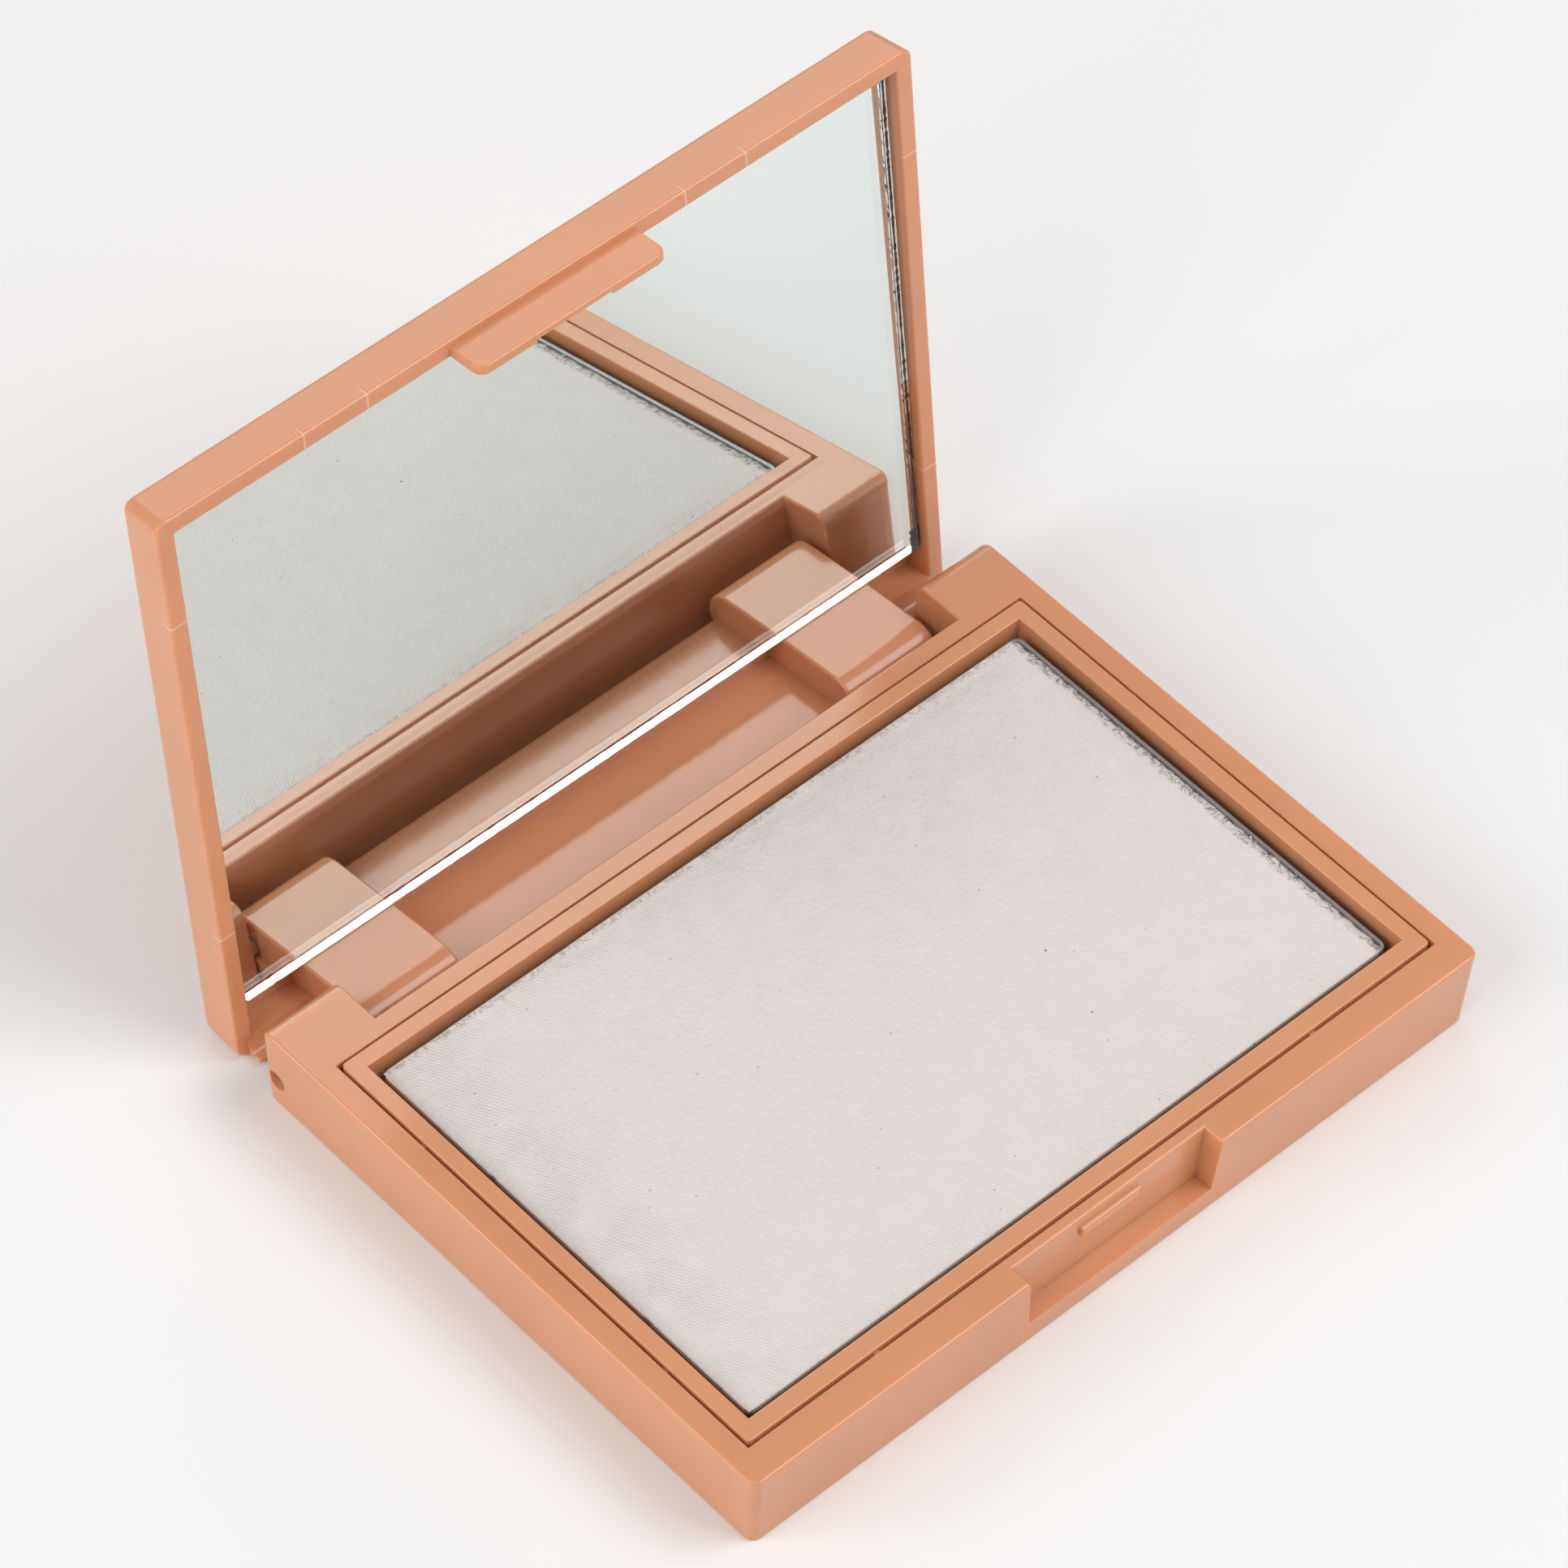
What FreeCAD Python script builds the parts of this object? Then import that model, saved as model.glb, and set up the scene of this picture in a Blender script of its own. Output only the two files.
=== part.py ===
"""Pressed-powder compact with a hinged mirror lid, modelled piece by piece in millimetres.

Row frame: the origin is on the underside of the base, midway across it. +X runs along the hinge,
+Y runs from the thumb latch towards the hinge, and +Z is up. The base, the tray and what they hold
are drawn where they are. The lid and its mirror are drawn shut, and swung open about the hinge at
the end, because the stored rest pose is the open compact.
"""
import FreeCAD, Part
import math
import os

V = FreeCAD.Vector

# Base shell: a shallow box whose outer walls lean in a little towards the foot
BASE_HALF_WIDTH = 40.0
BASE_FRONT = -30.0
BASE_REAR = 29.55
BASE_HEIGHT = 8.68
BASE_DRAFT = 0.38
BASE_FLOOR = 1.6
CORNER_RADIUS = 1.0
EDGE_ROUND = 0.25

# Rear of the base: an open bay between two ears that carry the hinge pins
EAR_INNER = 32.2
BAY_WALL = 24.2
EAR_TOP_ROUND = 1.4
EAR_FOOT_ROUND = 0.8

# Well in the base that takes the tray
WELL_HALF_WIDTH = 37.83
WELL_FRONT = -26.9
WELL_REAR = 22.48

# Thumb recess in the front wall, with the catch on its back face
RECESS_HALF_TOP = 10.6
RECESS_HALF_FOOT = 10.14
RECESS_BACK = -27.93
RECESS_FOOT = 2.58
CATCH_HALF_WIDTH = 3.2
CATCH_LOW = 6.5
CATCH_HIGH = 7.6
CATCH_REACH = 0.47

# Tray: the framed insert that is pushed into the well and stands just proud of it
FIT_GAP = 0.3
TRAY_TOP = 8.88
TRAY_FLOOR_TOP = 3.2
TRAY_EDGE = 0.12
POCKET_HALF_WIDTH = 36.0
POCKET_FRONT = -24.9
POCKET_REAR = 20.7
RIB_RADIUS = 0.27
RIB_TOP = 8.35
RIB_SIDE_Y = (-17.0, 12.0)
RIB_END_X = 24.0

# Pan of pressed powder, stuck down with dots of glue
PAN_MARGIN = 0.8
PAN_RIM = 7.9
PAN_FOOT = 3.5
PAN_WALL = 0.3
PAN_CORNER = 0.7
POWDER_TOP = 7.84
GLUE_DOT_RADIUS = 3.0
GLUE_DOT_PLACES = [(0.0, -2.1), (-24.0, -13.0), (24.0, -13.0), (-24.0, 9.0), (24.0, 9.0)]

# Hinge: two steel pins, pressed into the ears and running in the lid's blocks
HINGE_Y = 27.75
HINGE_Z = 3.15
PIN_RADIUS = 1.0
PIN_RUNNING_GAP = 0.05
PIN_OUTER_END = 39.0
PIN_INNER_END = 24.6
PIN_CHAMFER = 0.2
PIN_BORE_END = 24.2
OPEN_ANGLE = 97.35

# Lid shell, shut: a shallow tray face down on the base, with a rear skirt between the ears
PARTING_GAP = 0.08
LID_HALF_WIDTH = 39.42
LID_FRONT = -29.94
LID_REAR = 29.95
LID_TOP = 13.25
LID_DRAFT = 0.21
LID_REAR_DRAFT = 0.38
LID_TOP_ROUND = 0.5
LID_INNER_HALF_WIDTH = 37.7
LID_INNER_FRONT = -28.23
LID_INNER_REAR = 28.2
BLOCK_INNER = 21.6
BLOCK_OUTER = 31.4
BLOCK_RADIUS = 2.7
SKIRT_HALF_WIDTH = 31.95
SKIRT_FOOT = 1.0
EAR_LIP_GAP = 0.12
EAR_LIP_HALF_WIDTH = 38.3

# Thumb tab under the lid's front wall, hollowed over the catch
TAB_HALF_WIDTH = 9.8
TAB_FRONT = -29.2
TAB_BACK = -28.35
TAB_TIP = 5.1
TAB_CORNER = 1.0
TAB_NOTCH_HALF_WIDTH = 4.0
TAB_NOTCH_FRONT = -28.65

# Mirror: silvered glass on a pad of tape, seated a little out of parallel with the lid
MIRROR_FACE = 9.69
MIRROR_SLOPE = -0.0127
GLASS_THICKNESS = 1.1
SILVER_THICKNESS = 0.06
TAPE_THICKNESS = 0.8
GLASS_HALF_WIDTH = 37.6
GLASS_FRONT = -27.95
GLASS_REAR = 25.03
SILVER_MARGIN = 0.05
TAPE_MARGIN = 0.3

LID_RIM = BASE_HEIGHT + PARTING_GAP
PAN_HALF_WIDTH = POCKET_HALF_WIDTH - PAN_MARGIN
PAN_FRONT = POCKET_FRONT + PAN_MARGIN
PAN_REAR = POCKET_REAR - PAN_MARGIN
REACH = 100.0


def slab(x0, x1, y0, y1, z0, z1):
    """A plain block between two corners, used as stock and as a cutter."""
    return Part.makeBox(x1 - x0, y1 - y0, z1 - z0, V(x0, y0, z0))


def rounded_outline(half_width, front, rear, radius, z):
    """A closed rectangle at one height, with its four corners rounded."""
    inner = half_width - radius
    back = rear - radius
    fore = front + radius
    centres = [(inner, back), (-inner, back), (-inner, fore), (inner, fore)]
    corners = []
    for quarter, (x, y) in enumerate(centres):
        points = []
        for step in (0.0, 0.5, 1.0):
            angle = (quarter + step) * math.pi / 2
            points.append(V(x + radius * math.cos(angle), y + radius * math.sin(angle), z))
        corners.append(points)
    edges = []
    for index, points in enumerate(corners):
        following = corners[(index + 1) % len(corners)]
        edges.append(Part.Arc(*points).toShape())
        edges.append(Part.LineSegment(points[2], following[0]).toShape())
    return Part.Wire(edges)


def drafted_block(half_width, front, rear, low, high, lean_low, lean_high, rear_lean=None):
    """A block with rounded upright corners, whose walls lean in by lean_low at its foot
    and by lean_high at its top."""
    rear_low = lean_low if rear_lean is None else rear_lean[0]
    rear_high = lean_high if rear_lean is None else rear_lean[1]
    foot = rounded_outline(half_width - lean_low, front + lean_low, rear - rear_low, CORNER_RADIUS, low)
    top = rounded_outline(half_width - lean_high, front + lean_high, rear - rear_high, CORNER_RADIUS, high)
    return Part.makeLoft([foot, top], True, True)


def side_prism(points, x0, x1):
    """Extrude a closed outline drawn in the YZ plane along X. A point with a third value is the
    middle of an arc from the point before it to the point after it."""
    edges = []
    count = len(points)
    index = 0
    while index < count:
        here = points[index]
        after = points[(index + 1) % count]
        start = V(x0, here[0], here[1])
        if len(after) == 3:
            end = points[(index + 2) % count]
            middle = V(x0, after[0], after[1])
            edges.append(Part.Arc(start, middle, V(x0, end[0], end[1])).toShape())
            index += 2
        else:
            edges.append(Part.LineSegment(start, V(x0, after[0], after[1])).toShape())
            index += 1
    return Part.Face(Part.Wire(edges)).extrude(V(x1 - x0, 0, 0))


def arc_middle(centre_y, centre_z, radius, degrees):
    """A point on a circle in the YZ plane, marked as the middle of an arc."""
    angle = math.radians(degrees)
    return (centre_y + radius * math.cos(angle), centre_z + radius * math.sin(angle), "arc")


def hinge_rod(x0, x1, radius):
    """A round bar on the hinge axis."""
    return Part.makeCylinder(radius, x1 - x0, V(x0, HINGE_Y, HINGE_Z), V(1, 0, 0))


def round_edges(shape, radius, wanted):
    """Round the edges for which wanted(low corner, high corner, edge) is true."""
    chosen = []
    for edge in shape.Edges:
        box = edge.BoundBox
        if wanted(box, edge):
            chosen.append(edge)
    return shape.makeFillet(radius, chosen)


def near(a, b, tolerance=0.02):
    return abs(a - b) < tolerance


def base_shell():
    """The lower casing, with its ears, bay, well and thumb recess."""
    block = drafted_block(BASE_HALF_WIDTH, BASE_FRONT, BASE_REAR, 0.0, BASE_HEIGHT, BASE_DRAFT, 0.0)
    rear_top = BASE_REAR - 0.1
    top_y = rear_top - EAR_TOP_ROUND
    top_z = BASE_HEIGHT - EAR_TOP_ROUND
    foot_y = BASE_REAR - BASE_DRAFT - EAR_FOOT_ROUND
    outline = [
        (-REACH, 0.0),
        (foot_y, 0.0),
        arc_middle(foot_y, EAR_FOOT_ROUND, EAR_FOOT_ROUND, -45),
        (foot_y + EAR_FOOT_ROUND, EAR_FOOT_ROUND),
        (rear_top, top_z),
        arc_middle(top_y, top_z, EAR_TOP_ROUND, 45),
        (top_y, BASE_HEIGHT),
        (-REACH, BASE_HEIGHT),
    ]
    block = block.common(side_prism(outline, -REACH, REACH))
    block = block.cut(slab(-EAR_INNER, EAR_INNER, BAY_WALL, REACH, -1, REACH))
    recess = Part.Face(Part.makePolygon([
        V(-RECESS_HALF_FOOT, -REACH, RECESS_FOOT),
        V(RECESS_HALF_FOOT, -REACH, RECESS_FOOT),
        V(RECESS_HALF_TOP, -REACH, BASE_HEIGHT),
        V(RECESS_HALF_TOP, -REACH, REACH),
        V(-RECESS_HALF_TOP, -REACH, REACH),
        V(-RECESS_HALF_TOP, -REACH, BASE_HEIGHT),
        V(-RECESS_HALF_FOOT, -REACH, RECESS_FOOT),
    ])).extrude(V(0, REACH + RECESS_BACK, 0))
    block = block.cut(recess)

    def rim_edge(box, edge):
        flat_on_top = near(box.ZMin, BASE_HEIGHT) and near(box.ZMax, BASE_HEIGHT)
        across_round = flat_on_top and near(box.YMin, top_y) and near(box.YMax, top_y)
        return flat_on_top and not across_round

    block = round_edges(block, EDGE_ROUND, rim_edge)
    block = block.cut(slab(-WELL_HALF_WIDTH, WELL_HALF_WIDTH, WELL_FRONT, WELL_REAR, BASE_FLOOR, REACH))
    catch = slab(-CATCH_HALF_WIDTH, CATCH_HALF_WIDTH, RECESS_BACK - CATCH_REACH, RECESS_BACK + 0.2,
                 CATCH_LOW, CATCH_HIGH)

    def catch_nose(box, edge):
        return near(box.YMin, RECESS_BACK - CATCH_REACH) and near(box.YMax, RECESS_BACK - CATCH_REACH)

    catch = round_edges(catch, 0.3, catch_nose)
    block = block.fuse(catch).removeSplitter()
    return block.cut(hinge_rod(-REACH, REACH, PIN_RADIUS))


def tray():
    """The insert: a frame round the pan with a floor under it, and small locating ribs."""
    half = WELL_HALF_WIDTH - FIT_GAP
    front = WELL_FRONT + FIT_GAP
    rear = WELL_REAR - FIT_GAP
    body = slab(-half, half, front, rear, BASE_FLOOR, TRAY_TOP)

    def upright(box, edge):
        return box.ZLength > 1.0

    body = round_edges(body, 0.4, upright)
    body = body.cut(slab(-POCKET_HALF_WIDTH, POCKET_HALF_WIDTH, POCKET_FRONT, POCKET_REAR,
                         TRAY_FLOOR_TOP, REACH))

    def top_edge(box, edge):
        return near(box.ZMin, TRAY_TOP) and near(box.ZMax, TRAY_TOP)

    body = round_edges(body, TRAY_EDGE, top_edge)
    height = RIB_TOP - BASE_FLOOR
    for side in (-1, 1):
        for y in RIB_SIDE_Y:
            body = body.fuse(Part.makeCylinder(RIB_RADIUS, height, V(side * half, y, BASE_FLOOR)))
        body = body.fuse(Part.makeCylinder(RIB_RADIUS, height, V(side * RIB_END_X, front, BASE_FLOOR)))
        body = body.fuse(Part.makeCylinder(RIB_RADIUS, height, V(side * RIB_END_X, rear, BASE_FLOOR)))
    return body.removeSplitter()


def rounded_block(half_width, front, rear, radius, low, high):
    """A straight-sided block with rounded upright corners."""
    outline = rounded_outline(half_width, front, rear, radius, low)
    return Part.Face(outline).extrude(V(0, 0, high - low))


def powder_pan():
    """The thin aluminium pan."""
    outside = rounded_block(PAN_HALF_WIDTH, PAN_FRONT, PAN_REAR, PAN_CORNER, PAN_FOOT, PAN_RIM)
    inside = rounded_block(PAN_HALF_WIDTH - PAN_WALL, PAN_FRONT + PAN_WALL, PAN_REAR - PAN_WALL,
                           PAN_CORNER - PAN_WALL, PAN_FOOT + PAN_WALL, REACH)
    return outside.cut(inside)


def pressed_powder():
    """The cake of powder that fills the pan."""
    return rounded_block(PAN_HALF_WIDTH - PAN_WALL, PAN_FRONT + PAN_WALL, PAN_REAR - PAN_WALL,
                         PAN_CORNER - PAN_WALL, PAN_FOOT + PAN_WALL, POWDER_TOP)


def pan_glue():
    """Flattened dots of glue between the tray's floor and the pan."""
    dots = []
    for x, y in GLUE_DOT_PLACES:
        dots.append(Part.makeCylinder(GLUE_DOT_RADIUS, PAN_FOOT - TRAY_FLOOR_TOP, V(x, y, TRAY_FLOOR_TOP)))
    return Part.makeCompound(dots)


def hinge_pin(side):
    """One steel pin, with both ends chamfered. side is -1 on the left and 1 on the right."""
    low = min(side * PIN_INNER_END, side * PIN_OUTER_END)
    high = max(side * PIN_INNER_END, side * PIN_OUTER_END)
    pin = hinge_rod(low, high, PIN_RADIUS)
    ends = [edge for edge in pin.Edges if edge.BoundBox.XLength < PIN_CHAMFER]
    return pin.makeChamfer(PIN_CHAMFER, ends)


def swing_open(shape):
    """Turn a piece of the shut lid to the open rest pose."""
    shape.rotate(V(0, HINGE_Y, HINGE_Z), V(1, 0, 0), -OPEN_ANGLE)
    return shape


def hinge_block_outline():
    """Side view of a hinge block: straight down its front and back, and round under the pin."""
    low = HINGE_Z - BLOCK_RADIUS
    back_radius = LID_REAR - HINGE_Y
    back_centre = low + back_radius
    return [
        (HINGE_Y - BLOCK_RADIUS, LID_TOP - 1.0),
        (HINGE_Y - BLOCK_RADIUS, HINGE_Z),
        arc_middle(HINGE_Y, HINGE_Z, BLOCK_RADIUS, 225),
        (HINGE_Y, low),
        arc_middle(HINGE_Y, back_centre, back_radius, -45),
        (LID_REAR, back_centre),
        (LID_REAR, LID_RIM),
        (LID_REAR - 0.3, LID_TOP - 1.0),
    ]


def thumb_tab():
    """The tongue that drops into the thumb recess."""
    face = Part.Face(Part.makePolygon([
        V(-TAB_HALF_WIDTH, TAB_FRONT, TAB_TIP),
        V(TAB_HALF_WIDTH, TAB_FRONT, TAB_TIP),
        V(TAB_HALF_WIDTH, TAB_FRONT, LID_RIM + 0.5),
        V(-TAB_HALF_WIDTH, TAB_FRONT, LID_RIM + 0.5),
        V(-TAB_HALF_WIDTH, TAB_FRONT, TAB_TIP),
    ]))
    tongue = face.extrude(V(0, TAB_BACK - TAB_FRONT, 0))

    def tip_corner(box, edge):
        return box.YLength > 0.5 and near(box.ZMin, TAB_TIP) and near(box.ZMax, TAB_TIP)

    tongue = round_edges(tongue, TAB_CORNER, tip_corner)

    def outer_face(box, edge):
        on_front = near(box.YMin, TAB_FRONT) and near(box.YMax, TAB_FRONT)
        return on_front and box.ZMin < LID_RIM

    tongue = round_edges(tongue, 0.2, outer_face)
    notch = slab(-TAB_NOTCH_HALF_WIDTH, TAB_NOTCH_HALF_WIDTH, TAB_NOTCH_FRONT, TAB_BACK + 1.0,
                 TAB_TIP - 1.0, LID_RIM - 0.1)
    return tongue.cut(notch)


def mirror_plane(y):
    """Height of the mirror's face, with the lid shut."""
    return MIRROR_FACE + MIRROR_SLOPE * y


def ear_lip_outline():
    """Side view of the lip that hangs behind each ear and follows the round of its rear corner."""
    centre_y = BASE_REAR - 0.1 - EAR_TOP_ROUND
    centre_z = BASE_HEIGHT - EAR_TOP_ROUND
    radius = EAR_TOP_ROUND + EAR_LIP_GAP
    rise = LID_RIM - centre_z
    start_y = centre_y + math.sqrt(radius * radius - rise * rise)
    middle = math.degrees(math.asin(rise / radius)) / 2
    return [
        (start_y, LID_RIM + 1.0),
        (start_y, LID_RIM),
        arc_middle(centre_y, centre_z, radius, middle),
        (centre_y + radius, centre_z),
        (LID_REAR, centre_z),
        (LID_REAR, LID_RIM),
        (LID_REAR - 0.2, LID_RIM + 1.0),
    ]


def lid_shell():
    """The upper casing, drawn shut."""
    body = drafted_block(LID_HALF_WIDTH, LID_FRONT, LID_REAR, LID_RIM, LID_TOP, 0.0, LID_DRAFT,
                         rear_lean=(0.0, LID_REAR_DRAFT))

    def crown(box, edge):
        return near(box.ZMin, LID_TOP) and near(box.ZMax, LID_TOP)

    def lip(box, edge):
        return near(box.ZMin, LID_RIM) and near(box.ZMax, LID_RIM)

    body = round_edges(body, LID_TOP_ROUND, crown)
    body = round_edges(body, EDGE_ROUND, lip)
    tilt = math.atan(MIRROR_SLOPE)
    seat = (GLASS_THICKNESS + SILVER_THICKNESS + TAPE_THICKNESS) / math.cos(tilt)
    hollow = [
        (LID_INNER_FRONT, LID_RIM - 1.0),
        (LID_INNER_REAR, LID_RIM - 1.0),
        (LID_INNER_REAR, mirror_plane(LID_INNER_REAR) + seat),
        (LID_INNER_FRONT, mirror_plane(LID_INNER_FRONT) + seat),
    ]
    body = body.cut(side_prism(hollow, -LID_INNER_HALF_WIDTH, LID_INNER_HALF_WIDTH))

    def inner_lip(box, edge):
        at_rim = near(box.ZMin, LID_RIM) and near(box.ZMax, LID_RIM)
        on_wall = max(abs(box.XMin), abs(box.XMax)) < LID_INNER_HALF_WIDTH + 0.02
        at_rear = near(box.YMin, LID_INNER_REAR)
        inside = box.YMin > LID_INNER_FRONT - 0.02 and box.YMax < LID_INNER_REAR + 0.02
        return at_rim and on_wall and inside and not at_rear

    body = round_edges(body, EDGE_ROUND, inner_lip)
    for side in (-1, 1):
        x0 = min(side * BLOCK_INNER, side * BLOCK_OUTER)
        x1 = max(side * BLOCK_INNER, side * BLOCK_OUTER)
        block = side_prism(hinge_block_outline(), x0, x1)

        def arris(box, edge):
            in_front = box.YMin < HINGE_Y - 0.5 and box.YMax < LID_REAR - 0.5
            return box.XLength < 0.01 and in_front and box.ZMax < LID_TOP

        body = body.fuse(round_edges(block, 0.3, arris))
    skirt_round = 0.8
    skirt = [
        (LID_INNER_REAR, LID_RIM + 1.0),
        (LID_INNER_REAR, SKIRT_FOOT + skirt_round),
        arc_middle(LID_INNER_REAR + skirt_round, SKIRT_FOOT + skirt_round, skirt_round, 225),
        (LID_INNER_REAR + skirt_round, SKIRT_FOOT),
        (LID_REAR - skirt_round, SKIRT_FOOT),
        arc_middle(LID_REAR - skirt_round, SKIRT_FOOT + skirt_round, skirt_round, -45),
        (LID_REAR, SKIRT_FOOT + skirt_round),
        (LID_REAR, LID_RIM),
        (LID_REAR - 0.2, LID_RIM + 1.0),
    ]
    body = body.fuse(side_prism(skirt, -SKIRT_HALF_WIDTH, SKIRT_HALF_WIDTH))
    lip_start = SKIRT_HALF_WIDTH - 0.5
    body = body.fuse(side_prism(ear_lip_outline(), -EAR_LIP_HALF_WIDTH, -lip_start))
    body = body.fuse(side_prism(ear_lip_outline(), lip_start, EAR_LIP_HALF_WIDTH))
    body = body.fuse(thumb_tab())
    for side in (-1, 1):
        low = min(side * PIN_BORE_END, side * (SKIRT_HALF_WIDTH + 0.5))
        high = max(side * PIN_BORE_END, side * (SKIRT_HALF_WIDTH + 0.5))
        body = body.cut(hinge_rod(low, high, PIN_RADIUS + PIN_RUNNING_GAP))
    return body.removeSplitter()


def tilted_plate(margin, start, thickness):
    """A plate parallel to the mirror's face, starting at a depth behind it."""
    plate = slab(-GLASS_HALF_WIDTH + margin, GLASS_HALF_WIDTH - margin, GLASS_FRONT + margin,
                 GLASS_REAR - margin, MIRROR_FACE + start, MIRROR_FACE + start + thickness)
    plate.rotate(V(0, 0, MIRROR_FACE), V(1, 0, 0), math.degrees(math.atan(MIRROR_SLOPE)))
    return plate


def main():
    tape_depth = GLASS_THICKNESS + SILVER_THICKNESS
    nodes = {
        "base_shell": base_shell(),
        "powder_tray": tray(),
        "powder_pan": powder_pan(),
        "pressed_powder": pressed_powder(),
        "pan_glue": pan_glue(),
        "hinge_pin_left": hinge_pin(-1),
        "hinge_pin_right": hinge_pin(1),
        "lid_shell": swing_open(lid_shell()),
        "mirror_glass": swing_open(tilted_plate(0.0, 0.0, GLASS_THICKNESS)),
        "mirror_silvering": swing_open(tilted_plate(SILVER_MARGIN, GLASS_THICKNESS, SILVER_THICKNESS)),
        "mirror_tape": swing_open(tilted_plate(TAPE_MARGIN, tape_depth, TAPE_THICKNESS)),
    }
    os.makedirs("parts", exist_ok=True)
    for name, shape in nodes.items():
        shape.exportStep("parts/" + name + ".step")
        box = shape.BoundBox
        print(name, len(shape.Solids), "solids", round(shape.Volume, 1), "mm3, valid", shape.isValid(),
              [round(v, 2) for v in (box.XMin, box.XMax, box.YMin, box.YMax, box.ZMin, box.ZMax)])


main()
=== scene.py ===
# %% [markdown]
# # A pressed-powder compact, open
# The compact is a shallow casing of peach plastic with a lid on two steel pins. Its base holds a framed
# tray with a pan of pale powder, and its lid holds a mirror. The hard pieces come from a CAD model, so
# this lesson loads them, gives each one a finish, and models the pieces whose charm is in their
# surface: the cake of powder with the mark of the press cloth, and the ground edges of the glass.

# %% Load the hard pieces
import math
import random

import bpy
from mathutils import Matrix, Vector, noise


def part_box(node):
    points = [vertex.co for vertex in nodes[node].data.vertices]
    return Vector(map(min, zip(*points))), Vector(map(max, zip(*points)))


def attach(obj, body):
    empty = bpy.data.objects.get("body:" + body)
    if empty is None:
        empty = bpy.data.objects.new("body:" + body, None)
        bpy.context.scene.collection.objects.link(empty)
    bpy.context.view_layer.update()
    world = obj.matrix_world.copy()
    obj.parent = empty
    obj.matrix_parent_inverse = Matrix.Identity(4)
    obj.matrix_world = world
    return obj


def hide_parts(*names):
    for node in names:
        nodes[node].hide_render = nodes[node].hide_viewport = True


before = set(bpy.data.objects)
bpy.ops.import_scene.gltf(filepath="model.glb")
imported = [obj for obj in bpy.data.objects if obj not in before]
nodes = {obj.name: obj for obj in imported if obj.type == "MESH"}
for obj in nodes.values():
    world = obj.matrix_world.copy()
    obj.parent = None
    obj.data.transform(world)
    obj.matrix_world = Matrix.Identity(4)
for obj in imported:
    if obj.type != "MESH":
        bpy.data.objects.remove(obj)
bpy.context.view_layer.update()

MM = 0.001
print("hard pieces:", sorted(nodes))

# %% [markdown]
# ## The camera
# A small object is shown best from some way off with a long lens, which keeps its parallel edges
# almost parallel. The camera stands in front of the left corner of the case and looks down at about
# fifty degrees, so that the powder, the hinge and the reflection in the mirror are all seen at once.
# It is also rolled by a little over two degrees. The roll is made by turning the camera's own right and
# up directions about the line of sight.

# %% Place the camera
LOOK_AT = Vector((13.987, 25.587, 0.0)) * MM
CAMERA_PLACE = Vector((-285.395, -282.238, 524.243)) * MM
CAMERA_ROLL = math.radians(2.467)
LENS = 184.9

ahead = (LOOK_AT - CAMERA_PLACE).normalized()
right = ahead.cross(Vector((0, 0, 1))).normalized()
up = right.cross(ahead)
rolled_right = right * math.cos(CAMERA_ROLL) + up * math.sin(CAMERA_ROLL)
rolled_up = up * math.cos(CAMERA_ROLL) - right * math.sin(CAMERA_ROLL)
turn = Matrix((rolled_right, rolled_up, -ahead)).transposed()
bpy.ops.object.camera_add(location=CAMERA_PLACE, rotation=turn.to_euler())
camera = bpy.context.object
camera.data.lens = LENS
camera.data.sensor_width = 36.0
camera.data.clip_start = 0.01
camera.data.clip_end = 20.0
bpy.context.scene.camera = camera
print("camera is", round((LOOK_AT - CAMERA_PLACE).length, 3), "m from the compact")

# %% [markdown]
# ## The room
# Glossy plastic and a mirror show the room as much as themselves. A white light tent is the kindest
# room for them: a pale floor, a dim even sky, and soft boxes that are large for so small an object. The
# main box hangs in front of the compact and to its right. The mirror turns it back onto the hinge, where
# it lies on the glossy floor of the lid as a patch with a sharp edge, and the lower edge of the glass
# picks it up as a clean white line. A box on the left fills the shaded side, and two small ones behind
# draw the long bright edges.

# %% Floor and sky
def deselect():
    """Operators act on all that is selected, and freshly loaded pieces are."""
    bpy.ops.object.select_all(action="DESELECT")


deselect()
bpy.ops.mesh.primitive_plane_add(size=6.0, location=(0, 0, 0))
floor = bpy.context.object
floor.name = "floor"

SKY_STRENGTH = 0.43
sky = bpy.data.worlds.new("white_tent")
bpy.context.scene.world = sky
sky.use_nodes = True
sky.node_tree.nodes["Background"].inputs["Color"].default_value = (1.0, 0.995, 0.985, 1.0)
sky.node_tree.nodes["Background"].inputs["Strength"].default_value = SKY_STRENGTH
bpy.context.scene.view_settings.view_transform = "Standard"
print("sky strength", SKY_STRENGTH)

# %% Soft boxes
BOX_DISTANCE = 0.80
BOX_CENTRE = Vector((0.0, 0.02, 0.0))
BOX_AIM = Vector((0.0, 0.02, 0.01))


def soft_box(name, direction, size, brightness):
    """A square area light that faces the compact from a direction. brightness sets how bright its face
    looks, whatever its size."""
    deselect()
    place = Vector(direction).normalized() * BOX_DISTANCE + BOX_CENTRE
    facing = (BOX_AIM - place).to_track_quat("-Z", "Y")
    bpy.ops.object.light_add(type="AREA", location=place, rotation=facing.to_euler())
    box = bpy.context.object
    box.name = name
    box.data.size = size
    box.data.energy = brightness * math.pi * size * size


soft_box("soft_box_main", (0.40, -0.48, 0.77), 0.50, 3.6)
soft_box("soft_box_left", (-0.80, -0.05, 0.60), 0.50, 2.3)
soft_box("soft_box_rear_left", (-0.77, 0.45, 0.44), 0.22, 7.0)
soft_box("soft_box_rear_right", (0.44, 0.66, 0.61), 0.30, 1.2)

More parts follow.
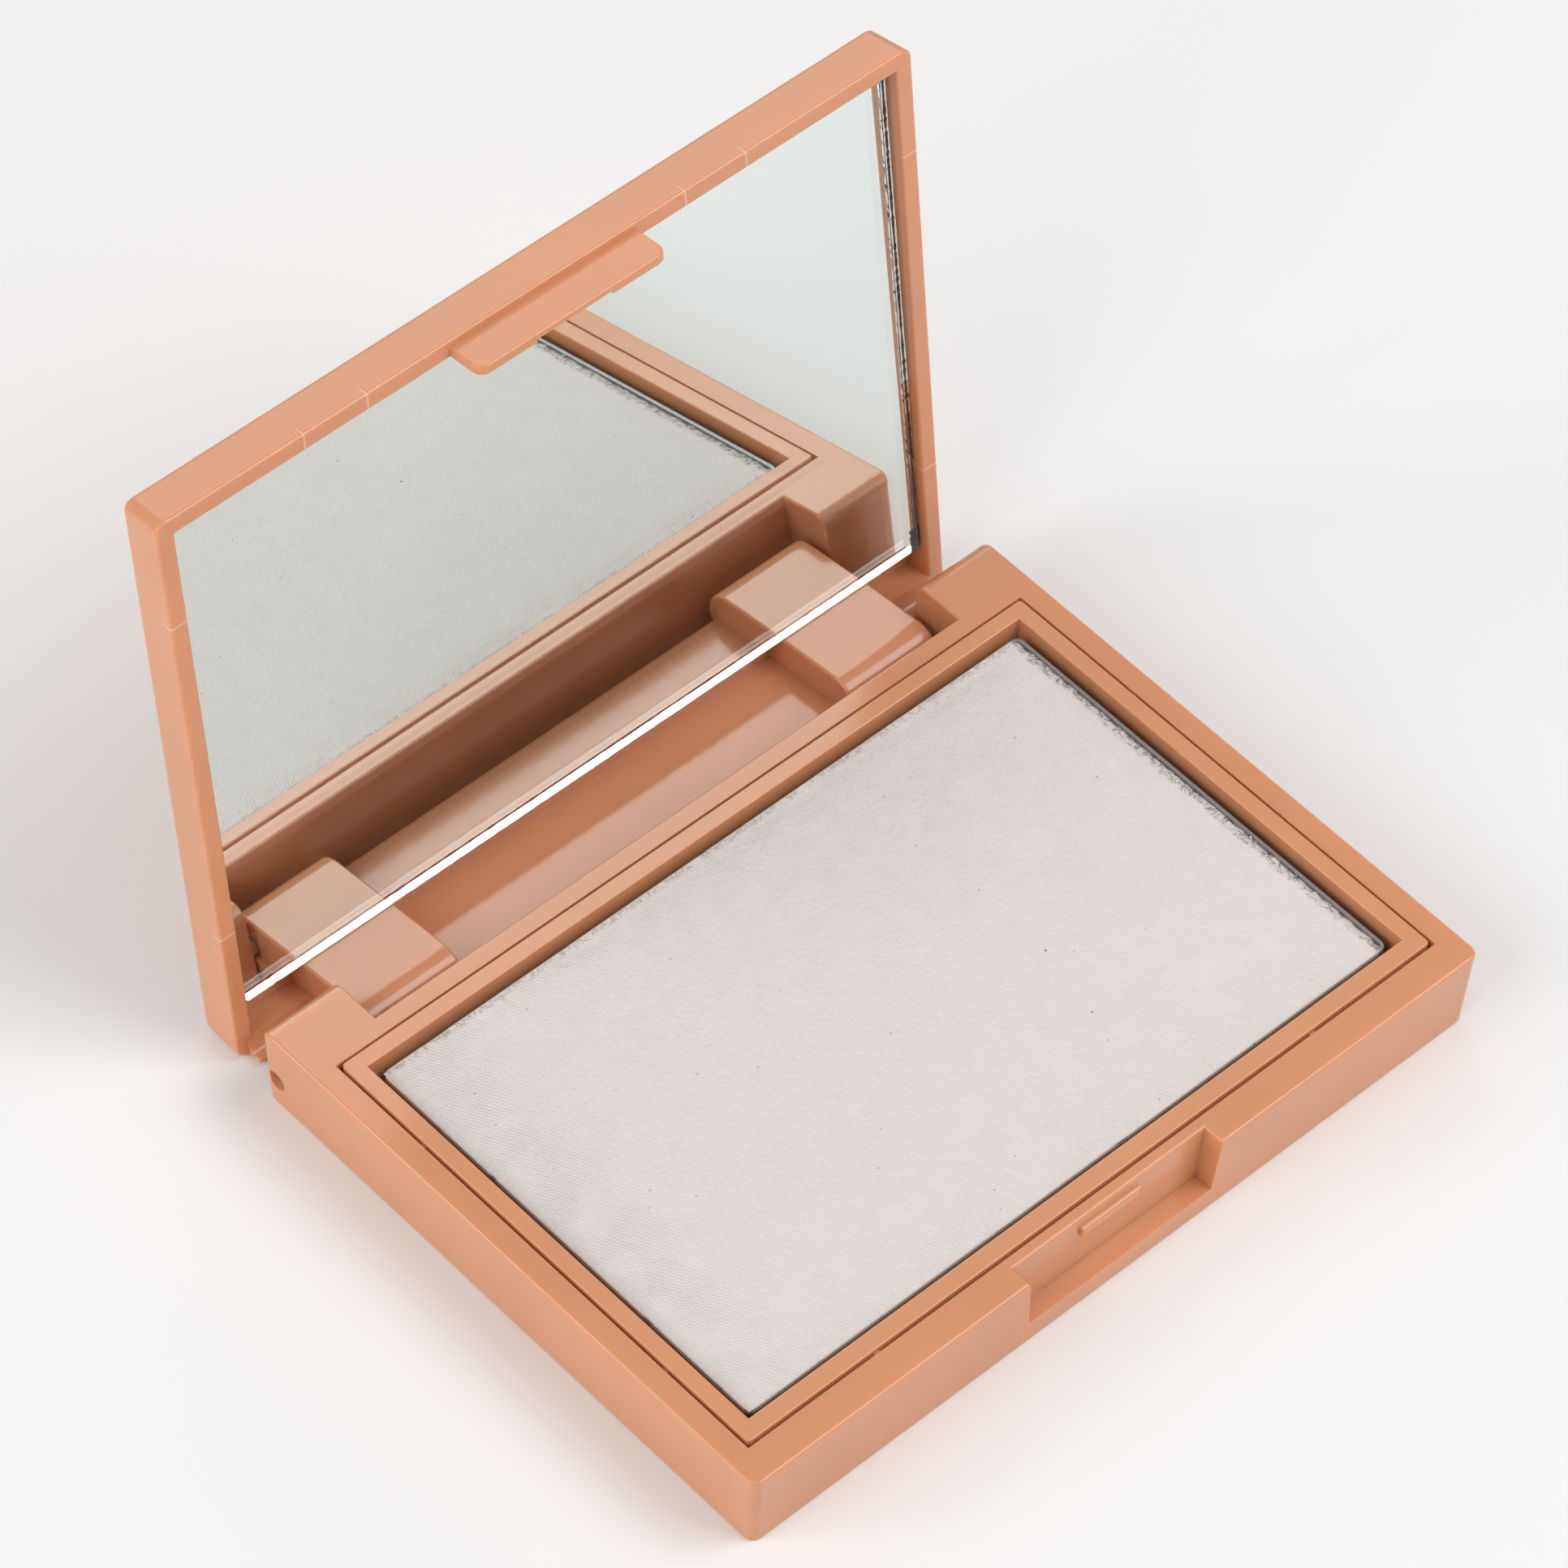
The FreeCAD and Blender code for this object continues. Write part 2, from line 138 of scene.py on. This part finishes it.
# %% [markdown]
# ## Writing materials as sums
# A procedural finish is arithmetic on patterns. Wiring dozens of Math nodes by hand hides that, so a
# small class wraps a node's output and turns +, - and * into Math nodes. A second class holds the
# material and has one method that adds any other node: its settings first, then its inputs.

# %% Wires and finishes
class Wire:
    """A value that runs through a material. Arithmetic on it adds Math nodes."""

    def __init__(self, finish, socket):
        self.finish = finish
        self.socket = socket

    def math(self, operation, *others):
        values = dict(enumerate((self, *others)))
        return self.finish.node("Math", {"operation": operation}, values)

    def reflected(self, operation, first):
        return self.finish.node("Math", {"operation": operation}, {0: first, 1: self})

    def __add__(self, other):
        return self.math("ADD", other)

    def __sub__(self, other):
        return self.math("SUBTRACT", other)

    def __mul__(self, other):
        return self.math("MULTIPLY", other)

    def __radd__(self, first):
        return self.reflected("ADD", first)

    def __rsub__(self, first):
        return self.reflected("SUBTRACT", first)

    def __rmul__(self, first):
        return self.reflected("MULTIPLY", first)

    def __abs__(self):
        return self.math("ABSOLUTE")

    def sine(self):
        return self.math("SINE")

    def most(self, other):
        """The larger of the two."""
        return self.math("MAXIMUM", other)

    def step(self, low, high):
        """0 below low, 1 above high, and smooth between them. low may be the larger one."""
        inputs = {"Value": self, "From Min": low, "From Max": high}
        return self.finish.node("MapRange", {"interpolation_type": "SMOOTHSTEP"}, inputs)


class Finish:
    """A material under construction."""

    def __init__(self, name):
        self.material = bpy.data.materials.new(name)
        self.material.use_nodes = True
        self.tree = self.material.node_tree
        self.tree.nodes.clear()
        self.places = None

    def node(self, kind, settings=None, inputs=None, output=0):
        """Add a node: its settings first, then values or wires for its sockets."""
        made = self.tree.nodes.new("ShaderNode" + kind)
        for key, value in (settings or {}).items():
            setattr(made, key, value)
        for key, value in (inputs or {}).items():
            if isinstance(value, Wire):
                self.tree.links.new(value.socket, made.inputs[key])
            else:
                made.inputs[key].default_value = value
        return Wire(self, made.outputs[output])

    def place(self):
        """Object coordinates, in metres."""
        if self.places is None:
            self.places = self.node("TexCoord", output="Object")
        return self.places

    def axes(self):
        """The x, y and z of the place, in millimetres."""
        scaled = self.node("VectorMath", {"operation": "SCALE"}, {0: self.place(), "Scale": 1000.0})
        split = self.node("SeparateXYZ", {}, {0: scaled})
        return [Wire(self, split.socket.node.outputs[axis]) for axis in "XYZ"]

    def noise(self, size_mm, detail=3.0, roughness=0.5, distortion=0.0):
        """Noise whose lumps are about size_mm across."""
        inputs = {"Vector": self.place(), "Scale": 1.0 / (size_mm * MM), "Detail": detail,
                  "Roughness": roughness, "Distortion": distortion}
        return self.node("TexNoise", {}, inputs)

    def cells(self, size_mm, feature="F1"):
        """Distance to the nearest of a scatter of points, in cells."""
        inputs = {"Vector": self.place(), "Scale": 1.0 / (size_mm * MM)}
        return self.node("TexVoronoi", {"feature": feature}, inputs, output="Distance")

    def blend(self, share, first, second):
        """Mix two colours, each a wire or three numbers."""
        made = self.tree.nodes.new("ShaderNodeMix")
        made.data_type = "RGBA"
        for index, value in ((0, share), (6, first), (7, second)):
            if isinstance(value, Wire):
                self.tree.links.new(value.socket, made.inputs[index])
            elif isinstance(value, tuple):
                made.inputs[index].default_value = (*value, 1.0)
            else:
                made.inputs[index].default_value = value
        return Wire(self, made.outputs[2])

    def bump(self, height, depth_mm, strength=1.0):
        """Dents depth_mm deep where the height is 0."""
        inputs = {"Height": height, "Distance": depth_mm * MM, "Strength": strength}
        return self.node("Bump", {}, inputs)

    def surface(self, **inputs):
        """A Principled shader. Underscores in the names stand for spaces."""
        named = {}
        for key, value in inputs.items():
            if isinstance(value, tuple) and len(value) == 3 and "Radius" not in key:
                value = (*value, 1.0)
            named[key.replace("_", " ")] = value
        return self.node("BsdfPrincipled", {}, named)

    def done(self, shader):
        """Join the shader to the material's output."""
        end = self.tree.nodes.new("ShaderNodeOutputMaterial")
        self.tree.links.new(shader.socket, end.inputs["Surface"])
        return self.material


# %% Give a finish to a piece
def paint(piece, *materials):
    """Replace all the materials of a piece."""
    piece.data.materials.clear()
    for material in materials:
        piece.data.materials.append(material)


plain = Finish("floor_paper")
sheet_noise = plain.noise(40.0)
paper = plain.surface(Base_Color=plain.blend(sheet_noise, (0.92, 0.92, 0.92), (0.94, 0.94, 0.94)),
                      Roughness=0.9)
paint(floor, plain.done(paper))
print("materials:", [m.name for m in bpy.data.materials])

# %% [markdown]
# ## Peach plastic
# The casing is injection-moulded in a peach that lets a little light in: corners and thin edges glow
# orange, and deep gaps go dark red. A Principled shader with some subsurface scattering does that, with
# a radius that is longest in red. The moulding is glossy but never flat, so slow noise bends its
# reflections a little, fine noise varies the gloss, and a few faint specks of dust break it.

# %% The casing's plastic
def peach_plastic(name, tint, witness_lines=False):
    """Glossy, faintly translucent moulded plastic."""
    made = Finish(name)
    cloudy = made.noise(9.0, detail=4.0)
    fine = made.noise(0.35, detail=4.0, roughness=0.6)
    deep = tuple(v * 0.955 for v in tint)
    colour = made.blend(cloudy.step(0.3, 0.7), deep, tint)
    dust = made.cells(2.6).step(0.035, 0.02)
    dust = dust * made.noise(7.0).step(0.48, 0.62)
    colour = made.blend(dust * 0.5, colour, (0.93, 0.80, 0.70))
    gloss = 0.12 + fine * 0.08 + dust * 0.3
    waves = made.noise(14.0, detail=2.0)
    height = waves + fine * 0.012
    if witness_lines:
        x, y, z = made.axes()
        lines = rim_lines(x, y, z)
        height = height + lines * 1.2
        colour = made.blend(lines * 0.6, colour, (0.88, 0.66, 0.50))
    skin = made.bump(height, 0.05, strength=0.55)
    shader = made.surface(Base_Color=colour, Roughness=gloss, Normal=skin, IOR=1.49,
                          Subsurface_Weight=0.50, Subsurface_Radius=(1.0, 0.40, 0.16),
                          Subsurface_Scale=1.5 * MM, Specular_IOR_Level=0.7)
    return made.done(shader)


TOP_RIM_LINES = (-24.6, -18.2, 14.9, 21.4)
SIDE_RIM_LINES = (14.2, 48.8)
TOP_RIM_HEIGHT = 57.0
SIDE_RIM_INSIDE = 37.6
RIM_LEAN = 0.129
RIM_FOOT = 33.8


def rim_lines(x, y, z):
    """Hairlines across the lid's rim, where the mould's inserts met. z is height above the floor.
    The rim leans back by RIM_LEAN, from RIM_FOOT at floor level."""
    marks = None
    for place in TOP_RIM_LINES:
        line = abs(x - place).step(0.13, 0.05) * z.step(TOP_RIM_HEIGHT, TOP_RIM_HEIGHT + 0.6)
        marks = line if marks is None else marks.most(line)
    for height in SIDE_RIM_LINES:
        on_side = abs(x).step(SIDE_RIM_INSIDE, SIDE_RIM_INSIDE + 0.3)
        marks = marks.most(abs(z - height).step(0.13, 0.05) * on_side)
    return marks * (y - z * RIM_LEAN).step(RIM_FOOT + 0.6, RIM_FOOT)


CASE_TINT = (0.730, 0.330, 0.170)
TRAY_TINT = (0.740, 0.345, 0.178)
case_plastic = peach_plastic("peach_case", CASE_TINT)
lid_plastic = peach_plastic("peach_lid", CASE_TINT, witness_lines=True)
tray_plastic = peach_plastic("peach_tray", TRAY_TINT)
paint(nodes["base_shell"], case_plastic)
paint(nodes["lid_shell"], lid_plastic)
paint(nodes["powder_tray"], tray_plastic)
print("plastic on base_shell, lid_shell and powder_tray")

# %% [markdown]
# ## Metal, glue and tape
# The pan is stamped from thin aluminium, and powder clings to most of its rim. The pins are drawn wire,
# with marks along them. Glue and foam tape hold the pan and the mirror from behind and are hardly ever
# seen, but an exploded view shows them, so they get finishes too.

# %% The metals
def drawn_metal(name, colour, across, roughness):
    """Metal with fine marks that run along X. across is how many times finer they are in Y and Z."""
    made = Finish(name)
    stretched = made.node("Mapping", {}, {"Vector": made.place(), "Scale": (1.0, across, across)})
    marks = made.node("TexNoise", {}, {"Vector": stretched, "Scale": 900.0, "Detail": 4.0})
    gloss = roughness + marks * 0.15
    dull = tuple(v * 0.82 for v in colour)
    shader = made.surface(Base_Color=made.blend(marks, dull, colour), Metallic=1.0, Roughness=gloss,
                          Normal=made.bump(marks, 0.01, strength=0.4))
    return made.done(shader)


PAN_BARE_FROM = 33.9
PAN_DUST_FROM = 7.2


def dusted_pan():
    """Aluminium sheet, its rim dusted with powder except along the right side."""
    made = Finish("pan_aluminium")
    x, y, z = made.axes()
    marks = made.node("TexNoise", {}, {"Vector": made.place(), "Scale": 2500.0, "Detail": 4.0})
    bare = x.step(PAN_BARE_FROM, PAN_BARE_FROM + 0.8).most(made.noise(3.0).step(0.62, 0.70) * 0.7)
    dust = (1.0 - bare) * z.step(PAN_DUST_FROM, PAN_DUST_FROM + 0.5) * marks.step(0.2, 0.4)
    metal = made.blend(marks, (0.30, 0.30, 0.31), (0.44, 0.44, 0.45))
    shader = made.surface(Base_Color=made.blend(dust, metal, (0.66, 0.60, 0.57)),
                          Metallic=1.0 - dust, Roughness=0.55 + dust * 0.3,
                          Normal=made.bump(marks, 0.02, strength=0.5))
    return made.done(shader)


paint(nodes["powder_pan"], dusted_pan())
pin_wire = drawn_metal("pin_wire", (0.62, 0.62, 0.63), 20.0, 0.22)
for side in ("left", "right"):
    paint(nodes["hinge_pin_" + side], pin_wire)
print("metal on the pan and the pins")


# %% Glue and tape
def soft_filler(name, colour, lump_mm, gloss):
    """A matt, slightly uneven filler: set glue, or foam tape."""
    made = Finish(name)
    lumps = made.noise(lump_mm, detail=5.0)
    dark = tuple(v * 0.88 for v in colour)
    shader = made.surface(Base_Color=made.blend(lumps, dark, colour), Roughness=gloss + lumps * 0.2,
                          Normal=made.bump(lumps, 0.08, strength=0.6))
    return made.done(shader)


paint(nodes["pan_glue"], soft_filler("set_glue", (0.80, 0.76, 0.64), 0.8, 0.35))
paint(nodes["mirror_tape"], soft_filler("foam_tape", (0.86, 0.86, 0.85), 0.25, 0.7))
print("filler on the glue and the tape")

# %% [markdown]
# ## The cake of powder
# Pressed powder takes the mark of the cloth that it was pressed through. The cake could be a flat slab
# with a bump map, but its edges give that away: they crumble, and near the rim of the pan the surface
# dips and cracks. So the cake is a fine grid whose points are moved by layered noise. On three sides it is
# smeared over the thin rim of the pan. Only the threads of the cloth, finer than the grid, are left to a
# bump.

# %% Model the cake
cake_low, cake_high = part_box("pressed_powder")
CAKE_STEP = 0.32 * MM
CAKE_TOP = cake_high.z + 0.09 * MM
FLANGE = cake_high.z + 0.065 * MM
CAKE_SIDE = cake_high.z - 0.9 * MM
CAKE_FOOT = cake_low.z + 0.05 * MM
cake_size = cake_high - cake_low
deselect()
bpy.ops.mesh.primitive_grid_add(
    x_subdivisions=round(cake_size.x / CAKE_STEP), y_subdivisions=round(cake_size.y / CAKE_STEP),
    size=1.0, location=((cake_low.x + cake_high.x) / 2, (cake_low.y + cake_high.y) / 2, CAKE_TOP))
cake = bpy.context.object
cake.name = "powder_cake"
cake.scale = (cake_size.x, cake_size.y, 1.0)
bpy.ops.object.transform_apply(location=True, rotation=True, scale=True)
bpy.ops.object.mode_set(mode="EDIT")
bpy.ops.mesh.select_all(action="SELECT")
bpy.ops.mesh.region_to_loop()
for level_from, level_to in ((CAKE_TOP, FLANGE), (FLANGE, CAKE_SIDE), (CAKE_SIDE, CAKE_FOOT)):
    bpy.ops.mesh.extrude_region_move(TRANSFORM_OT_translate={"value": (0, 0, level_to - level_from)})
bpy.ops.mesh.edge_face_add()
bpy.ops.mesh.select_all(action="SELECT")
bpy.ops.mesh.normals_make_consistent(inside=False)
bpy.ops.object.mode_set(mode="OBJECT")
print("cake:", len(cake.data.vertices), "points")


# %% Crumble its edges
def lumps(point, size_mm, seed):
    """Smooth noise from -1 to 1 at a point."""
    return noise.noise(Vector(point) / (size_mm * MM) + Vector((seed, seed * 0.7, 0)))


BREAK_REACH = 0.5
BREAK_DEPTH = 0.30
DENT_MIDDLE = 0.8
SETTLED = 0.012


def top_height(x, y):
    """The height of the cake at a place. Its right edge has broken away from the pan, and its rear
    edge is dented along a band whose middle is DENT_MIDDLE inside it."""
    here = Vector((x, y, 0))
    from_right = (cake_high.x - x) / MM
    from_rear = (cake_high.y - y) / MM
    ripple = 0.012 * lumps(here, 9.0, 1.0) + 0.007 * lumps(here, 2.2, 2.0)
    reach = BREAK_REACH + 0.8 * max(0.0, lumps(here, 3.0, 5.0) + 0.3)
    broken = max(0.0, 1.0 - from_right / reach) * (BREAK_DEPTH + 0.22 * lumps(here, 0.7, 7.7))
    band = max(0.0, 1.0 - abs(from_rear - DENT_MIDDLE) / DENT_MIDDLE)
    dent = max(0.0, 0.10 + 0.20 * lumps(here, 0.8, 9.4))
    dented = band * dent * max(0.2, 0.6 + lumps(here, 9.0, 2.5))
    return CAKE_TOP + (ripple - broken - dented - SETTLED) * MM


OVERHANG = 0.26 * MM
ON_EDGE = 0.02 * MM
for vertex in cake.data.vertices:
    x, y, z = vertex.co
    if z < FLANGE - 0.01 * MM:
        continue
    height = top_height(x, y)
    if z < CAKE_TOP - 0.01 * MM:
        vertex.co.z = min(FLANGE, height - 0.03 * MM)
        continue
    vertex.co.z = height
    spread = OVERHANG * (0.85 + 0.3 * lumps(vertex.co, 0.8, 6.0))
    if x - cake_low.x < ON_EDGE:
        vertex.co.x -= spread
    if y - cake_low.y < ON_EDGE:
        vertex.co.y -= spread
    if cake_high.y - y < ON_EDGE:
        vertex.co.y += spread
cake.data.update()
bpy.ops.object.shade_smooth_by_angle(angle=math.radians(50))
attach(cake, "base")
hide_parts("pressed_powder")
print("cake top spans", round(max(v.co.z for v in cake.data.vertices) / MM, 3), "mm up")

# %% [markdown]
# The powder itself is matt and almost white, with a breath of pink. The cloth lay askew, so its threads
# are a sine wave across a turned axis, made to weave by a second wave. Their mark is deepest near the
# edges, where the cloth was stretched, and gives way to a leathery grain in the middle. Cracks along the
# broken edges, specks, pits and a faint rubbed patch finish it. The cracks and pits are drawn darker, and
# the broken edges a ragged grey: that darkening is painted shade.

# %% The powder's finish
THREAD = 0.31
WEFT = 0.52
CLOTH_TURN = math.radians(25.5)
PATCH_X = 20.5
PATCH_Y = 2.6
powder = Finish("pressed_powder_finish")
x, y, z = powder.axes()
wobble = powder.noise(5.0, detail=2.0)
warp = x * math.cos(CLOTH_TURN) + y * math.sin(CLOTH_TURN) + wobble * 0.6
weft = y * math.cos(CLOTH_TURN) - x * math.sin(CLOTH_TURN) + wobble * 0.5
waves = (weft * (2 * math.pi / WEFT)).sine() * 1.1
threads = (warp * (2 * math.pi / THREAD) + waves).sine() * 0.5 + 0.5
near_left = x.step(-22.0, -34.0)
near_front = y.step(-16.0, -24.0)
near_rear = y.step(15.0, 19.5)
mark = near_left.most(near_front * 0.6).most(near_rear * 0.7) * 0.85 + 0.15
mark = mark * powder.noise(4.0).step(0.1, 0.6)
grain = powder.noise(0.16, detail=5.0, roughness=0.65)
hide = powder.cells(0.36, feature="SMOOTH_F1")
mottle = powder.noise(2.2, detail=5.0, roughness=0.6)
specks = powder.cells(4.6).step(0.032, 0.018) * powder.noise(9.0).step(0.50, 0.58)
pits = powder.cells(2.3).step(0.05, 0.02)
ragged = powder.noise(0.8, detail=4.0)
split = powder.noise(1.1, detail=6.0, roughness=0.65, distortion=0.8)
edge_zone = (x + ragged * 1.4).step(34.5, 35.3).most((y + ragged * 1.0).step(19.6, 20.2) * 0.35)
cracks = abs(split - 0.5).step(0.022, 0.008) * edge_zone
colour = powder.blend(mottle.step(0.25, 0.75), (0.775, 0.715, 0.690), (0.805, 0.750, 0.728))
patch_x = x - PATCH_X
patch_y = y - PATCH_Y
patch = (patch_x * patch_x * 0.35 + patch_y * patch_y + wobble * 2.0).step(4.2, 2.4)
colour = powder.blend(patch * 0.35, colour, (0.84, 0.79, 0.77))
# Painted shade: a ragged grey along the broken right and rear edges of the cake.
colour = powder.blend(edge_zone * ragged * 0.55, colour, (0.50, 0.45, 0.42))
# The dark specks are dirt on the powder. The cracks get the same dark as painted shade inside them.
colour = powder.blend(specks.most(cracks * 0.6), colour, (0.22, 0.19, 0.18))
# Painted shade: the pits are drawn a little darker.
colour = powder.blend(pits * 0.25, colour, (0.60, 0.54, 0.51))
height = threads * mark * 0.6 + hide * 0.7 + grain * 0.4 - pits * 0.9 + mottle * 0.35 - cracks
shader = powder.surface(Base_Color=colour, Roughness=0.86, Normal=powder.bump(height, 0.10, 1.0),
                        Specular_IOR_Level=0.25, Sheen_Weight=0.05)
powder_finish = powder.done(shader)
paint(cake, powder_finish)
print("powder finish has", len(powder.tree.nodes), "nodes")

# %% [markdown]
# Crumbs that broke off the rim lie in the gap and along the edge of the cake. One is a small ball with its
# points pushed about, and each crumb is a copy of it with its own size and turn.

# %% Scatter the crumbs
CRUMBS = 70
SHARE_AT_REAR = 0.45
luck = random.Random(41)
deselect()
crumbs = []
for index in range(CRUMBS):
    along_rear = luck.random() < SHARE_AT_REAR
    if along_rear:
        place = (luck.uniform(cake_low.x, cake_high.x), cake_high.y - luck.uniform(0.1, 1.1) * MM)
    else:
        place = (cake_high.x - luck.uniform(0.1, 0.9) * MM, luck.uniform(cake_low.y, cake_high.y))
    size = luck.uniform(0.04, 0.13) * MM
    bpy.ops.mesh.primitive_ico_sphere_add(
        subdivisions=1, radius=size, location=(*place, cake_high.z - 0.05 * MM + size * 0.2),
        rotation=(luck.uniform(0, 3), luck.uniform(0, 3), 0))
    crumb = bpy.context.object
    for vertex in crumb.data.vertices:
        vertex.co *= luck.uniform(0.7, 1.25)
    crumbs.append(crumb)
for crumb in crumbs:
    crumb.select_set(True)
bpy.context.view_layer.objects.active = crumbs[0]
bpy.ops.object.join()
bpy.ops.object.transform_apply(location=True, rotation=True, scale=True)
crumbs = bpy.context.object
crumbs.name = "powder_crumbs"
paint(crumbs, powder_finish)
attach(crumbs, "base")
print("crumbs:", CRUMBS, "of them,", len(crumbs.data.polygons), "faces")

# %% [markdown]
# ## The mirror
# A compact's mirror is a sheet of glass about a millimetre thick, silvered on the back. Its edges are
# what make it look real: light that enters near an edge bounces inside the glass, and shows as a bright
# line. Real refraction gives that for nothing, as long as the glass is a true solid with the silver on its
# far side. The glass is drawn flat first, as if the lid lay on its back, from a fine grid, so that the
# narrow ground bevel round its face can be made ragged, as a glass cutter leaves it. Its four corners
# are taken off by bisecting, because a cut corner is the first thing to chip.

# %% Find the plane of the mirror
glass_node = nodes["mirror_glass"].data
largest = max(glass_node.polygons, key=lambda face: face.area)
face_out = largest.normal.copy()
if face_out.y > 0:
    face_out = -face_out
side_way = Vector((1, 0, 0))
up_way = side_way.cross(-face_out).normalized()
if up_way.z < 0:
    up_way = -up_way
points = [vertex.co for vertex in glass_node.vertices]
front_level = max(p.dot(face_out) for p in points)
back_level = min(p.dot(face_out) for p in points)
low_level = min(p.dot(up_way) for p in points)
high_level = max(p.dot(up_way) for p in points)
half_width = max(p.x for p in points)
thick = front_level - back_level
print("glass", [round(v / MM, 2) for v in (2 * half_width, high_level - low_level, thick)], "mm")

# %% Model the glass
SEAM = 0.11 * MM
SILVER_BED = 0.02 * MM
PANE_STEP = 0.42 * MM
CORNER_DUB = 0.35 * MM
pane_height = high_level - low_level
deselect()
bpy.ops.mesh.primitive_grid_add(x_subdivisions=round(2 * half_width / PANE_STEP),
                                y_subdivisions=round(pane_height / PANE_STEP), size=1.0,
                                location=(0, 0, 0))
glass = bpy.context.object
glass.name = "mirror_pane"
glass.scale = (2 * half_width, pane_height, 1.0)
bpy.ops.object.transform_apply(location=True, rotation=True, scale=True)
bpy.ops.object.mode_set(mode="EDIT")
for across, along in ((1, 1), (1, -1), (-1, 1), (-1, -1)):
    bpy.ops.mesh.select_all(action="SELECT")
    cut = (across * (half_width - CORNER_DUB / 2), along * (pane_height / 2 - CORNER_DUB / 2), 0)
    bpy.ops.mesh.bisect(plane_co=cut, plane_no=(across, along, 0), clear_outer=True)
bpy.ops.mesh.select_all(action="SELECT")
bpy.ops.mesh.extrude_region_move(TRANSFORM_OT_translate={"value": (0, 0, thick - SEAM + SILVER_BED)})
bpy.ops.mesh.inset(thickness=SEAM, depth=SEAM)
bpy.ops.mesh.select_all(action="SELECT")
bpy.ops.mesh.normals_make_consistent(inside=False)
bpy.ops.object.mode_set(mode="OBJECT")
print("pane:", len(glass.data.vertices), "points,", len(glass.data.polygons), "faces")

# %% Chip its bevel and stand it in the lid
CHIP_DEPTH = 0.10 * MM
FINE_CHIP = 0.45 * MM
BROAD_CHIP = 1.9 * MM
top = thick + SILVER_BED
for vertex in glass.data.vertices:
    x, y, z = vertex.co
    from_side = half_width - abs(x)
    from_end = pane_height / 2 - abs(y)
    if z < 1e-6 or min(from_side, from_end) > 1.2 * SEAM:
        continue
    chip = noise.noise(vertex.co / FINE_CHIP) + 0.6 * noise.noise(vertex.co / BROAD_CHIP)
    chip = max(-0.3, min(1.0, chip)) * CHIP_DEPTH
    if z < top - 1e-6:
        vertex.co.z -= max(0.0, chip)
    elif from_side < from_end:
        vertex.co.x -= math.copysign(chip, x)
    else:
        vertex.co.y -= math.copysign(chip, y)
middle_up = (high_level + low_level) / 2
stand = Matrix((side_way, up_way, face_out)).transposed().to_4x4()
stand.translation = up_way * middle_up + face_out * (back_level - SILVER_BED)
glass.data.transform(stand)
glass.data.update()
seam_faces = 0
for face in glass.data.polygons:
    facing = abs(face.normal.dot(face_out))
    dubbed = facing < 0.01 and 0.3 < abs(face.normal.x) < 0.9
    face.material_index = 1 if 0.3 < facing < 0.98 or dubbed else 0
    seam_faces += face.material_index
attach(glass, "lid")
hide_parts("mirror_glass")
print("bevel faces:", seam_faces)

# %% [markdown]
# Clear glass needs little: an index of refraction and no roughness. Dust is what places its surface, so a
# scatter of tiny pale specks is mixed in. The ground bevel is rough and greyish. The silver behind is a
# metal with a trace of green, which the iron in the glass gives it. It is flaked away to its dark
# backing paint here and there along its very edge, and is quite gone at the lower right corner.

# %% Glass, bevel and silver
pane = Finish("clear_glass")
dusty = pane.cells(3.1).step(0.030, 0.014) * pane.noise(11.0).step(0.44, 0.60)
clear = pane.surface(Base_Color=(0.975, 1.0, 0.99), Roughness=0.0, IOR=1.52, Transmission_Weight=1.0)
speck = pane.surface(Base_Color=(0.85, 0.84, 0.82), Roughness=0.8)
mixed = pane.node("MixShader", {}, {0: dusty * 0.7, 1: clear, 2: speck})
clear_glass = pane.done(mixed)

ground = Finish("ground_bevel")
chips = ground.noise(0.25, detail=3.0)
bevel_look = ground.surface(Base_Color=ground.blend(chips.step(0.4, 0.6), (0.10, 0.09, 0.08),
                                                    (0.75, 0.77, 0.75)),
                            Roughness=0.35, Normal=ground.bump(chips, 0.05))
paint(glass, clear_glass, ground.done(bevel_look))

LOST_INSIDE = 37.05
LOST_TOP = 8.1
silver = Finish("silvering")
x, y, z = silver.axes()
flake = silver.noise(0.5, detail=3.0)
rim_from = half_width / MM + 0.02
rim = (abs(x) + flake * 0.35).step(rim_from, rim_from + 0.04)
lost_corner = (x + flake * 0.6).step(LOST_INSIDE, LOST_INSIDE + 0.05)
lost_corner = lost_corner * (z + flake * 2.0).step(LOST_TOP, LOST_TOP - 0.2)
bare = rim.most(lost_corner)
shader = silver.surface(Base_Color=silver.blend(bare, (0.865, 0.900, 0.885), (0.02, 0.02, 0.02)),
                        Metallic=1.0 - lost_corner, Roughness=0.0)
paint(nodes["mirror_silvering"], silver.done(shader))
print("glass and silver are on")
